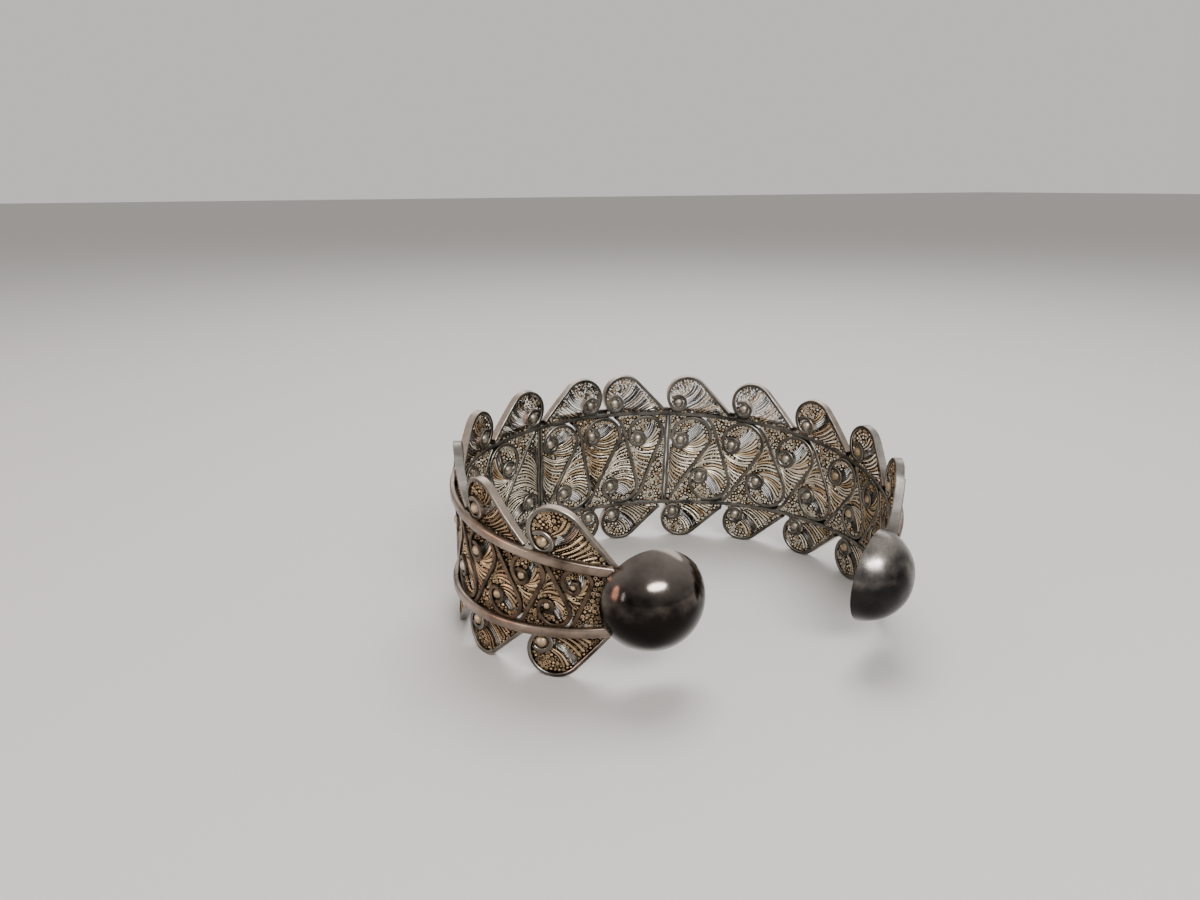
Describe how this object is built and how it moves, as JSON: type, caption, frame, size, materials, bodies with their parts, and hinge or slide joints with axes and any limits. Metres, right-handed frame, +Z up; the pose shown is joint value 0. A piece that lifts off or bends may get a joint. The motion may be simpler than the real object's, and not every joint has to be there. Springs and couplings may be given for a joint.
{
  "type": "filigree bracelet",
  "caption": "Open filigree cuff with a scalloped border of comma-shaped lobes, alternating scrolls between two rails and half-ball terminals, lying on its side.",
  "frame": {"origin": "middle of the cuff's footprint, on the surface it lies on", "axes": "+Z up, close to the cuff's own axis; -Y towards the gap between the terminals; +X to the right seen from the gap"},
  "size_m": [0.0621, 0.0544, 0.0294],
  "materials": {
    "wire_silver": "tarnished silver wire and twisted-wire filling",
    "rail_silver": "tarnished silver, worn bright on the outside",
    "terminal_silver": "polished silver under a dark brown tarnish"
  },
  "bodies": {
    "root": {"rail_upper": "rail_silver", "rail_lower": "rail_silver", "left_bar": "wire_silver", "right_bar": "wire_silver", "terminal_left": "terminal_silver", "terminal_left_back": "terminal_silver", "terminal_right": "terminal_silver", "terminal_right_back": "terminal_silver", "upper_lobe_01": "wire_silver", "upper_lobe_02": "wire_silver", "upper_lobe_03": "wire_silver", "upper_lobe_04": "wire_silver", "upper_lobe_05": "wire_silver", "upper_lobe_06": "wire_silver", "upper_lobe_07": "wire_silver", "upper_lobe_08": "wire_silver", "upper_lobe_09": "wire_silver", "upper_lobe_10": "wire_silver", "upper_lobe_11": "wire_silver", "upper_lobe_12": "wire_silver", "lower_lobe_01": "wire_silver", "lower_lobe_02": "wire_silver", "lower_lobe_03": "wire_silver", "lower_lobe_04": "wire_silver", "lower_lobe_05": "wire_silver", "lower_lobe_06": "wire_silver", "lower_lobe_07": "wire_silver", "lower_lobe_08": "wire_silver", "lower_lobe_09": "wire_silver", "lower_lobe_10": "wire_silver", "lower_lobe_11": "wire_silver", "lower_lobe_12": "wire_silver", "left_scrolls_1": "wire_silver", "left_scrolls_2": "wire_silver", "left_scrolls_3": "wire_silver", "left_scrolls_4": "wire_silver", "left_scrolls_5": "wire_silver", "left_scrolls_6": "wire_silver", "middle_scrolls_1": "wire_silver", "middle_scrolls_2": "wire_silver", "middle_scrolls_3": "wire_silver", "right_scrolls_1": "wire_silver", "right_scrolls_2": "wire_silver", "right_scrolls_3": "wire_silver", "right_scrolls_4": "wire_silver", "right_scrolls_5": "wire_silver", "right_scrolls_6": "wire_silver"}
  },
  "joints": []
}
